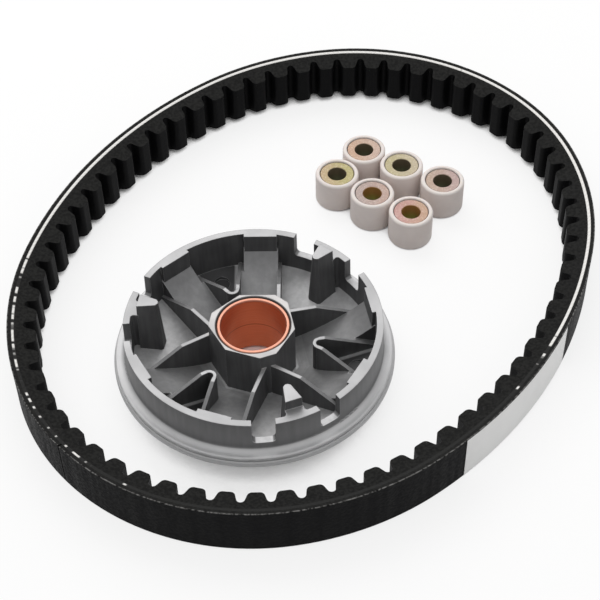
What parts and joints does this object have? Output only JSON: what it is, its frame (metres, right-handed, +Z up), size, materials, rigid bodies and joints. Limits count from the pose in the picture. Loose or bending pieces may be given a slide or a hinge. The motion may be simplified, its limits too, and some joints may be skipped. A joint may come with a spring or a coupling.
{
  "type": "cvt pulley set",
  "caption": "Drive set of a scooter's stepless belt gear laid out loose: cogged V-belt in an oval loop, sliding drive face with bush, and cylindrical roller weights.",
  "frame": {"origin": "on the bench under the middle of the belt loop", "axes": "+Z up from the bench along the drive face's axis, +Y away from the viewer of the layout, +X to the viewer's right"},
  "size_m": [0.2292, 0.2474, 0.033],
  "materials": {
    "belt_cover": "ground black rubber",
    "belt_cord": "cut ends of white polyester cord",
    "belt_rubber": "moulded black rubber",
    "label": "plain white sticker",
    "cast_aluminium": "die-cast, machined on the top faces",
    "bush_metal": "copper-coloured sintered bronze",
    "core_plate_1": "yellow to pink chromate plating",
    "core_plate_2": "yellow to pink chromate plating",
    "core_plate_3": "yellow to pink chromate plating",
    "core_plate_4": "yellow to pink chromate plating",
    "core_plate_5": "yellow to pink chromate plating",
    "core_plate_6": "yellow to pink chromate plating",
    "sleeve_nylon": "moulded nylon"
  },
  "bodies": {
    "belt": {"belt_back": "belt_cover", "belt_cord": "belt_cord", "belt_cogs": "belt_rubber", "belt_label": "label"},
    "drive_face": {"drive_face": "cast_aluminium", "hub_bush": "bush_metal"},
    "roller_1": {"roller_1_sleeve": "sleeve_nylon", "roller_1_core": "core_plate_1"},
    "roller_2": {"roller_2_sleeve": "sleeve_nylon", "roller_2_core": "core_plate_2"},
    "roller_3": {"roller_3_sleeve": "sleeve_nylon", "roller_3_core": "core_plate_3"},
    "roller_4": {"roller_4_sleeve": "sleeve_nylon", "roller_4_core": "core_plate_4"},
    "roller_5": {"roller_5_sleeve": "sleeve_nylon", "roller_5_core": "core_plate_5"},
    "roller_6": {"roller_6_sleeve": "sleeve_nylon", "roller_6_core": "core_plate_6"}
  },
  "joints": [
    {"name": "drive_face_lift", "type": "slide", "parent": "belt", "child": "drive_face", "axis": [0, 0, 1], "range_m": [0, 0.045]},
    {"name": "roller_1_lift", "type": "slide", "parent": "belt", "child": "roller_1", "axis": [0, 0, 1], "range_m": [0, 0.04]},
    {"name": "roller_2_lift", "type": "slide", "parent": "belt", "child": "roller_2", "axis": [0, 0, 1], "range_m": [0, 0.04]},
    {"name": "roller_3_lift", "type": "slide", "parent": "belt", "child": "roller_3", "axis": [0, 0, 1], "range_m": [0, 0.04]},
    {"name": "roller_4_lift", "type": "slide", "parent": "belt", "child": "roller_4", "axis": [0, 0, 1], "range_m": [0, 0.04]},
    {"name": "roller_5_lift", "type": "slide", "parent": "belt", "child": "roller_5", "axis": [0, 0, 1], "range_m": [0, 0.04]},
    {"name": "roller_6_lift", "type": "slide", "parent": "belt", "child": "roller_6", "axis": [0, 0, 1], "range_m": [0, 0.04]}
  ]
}
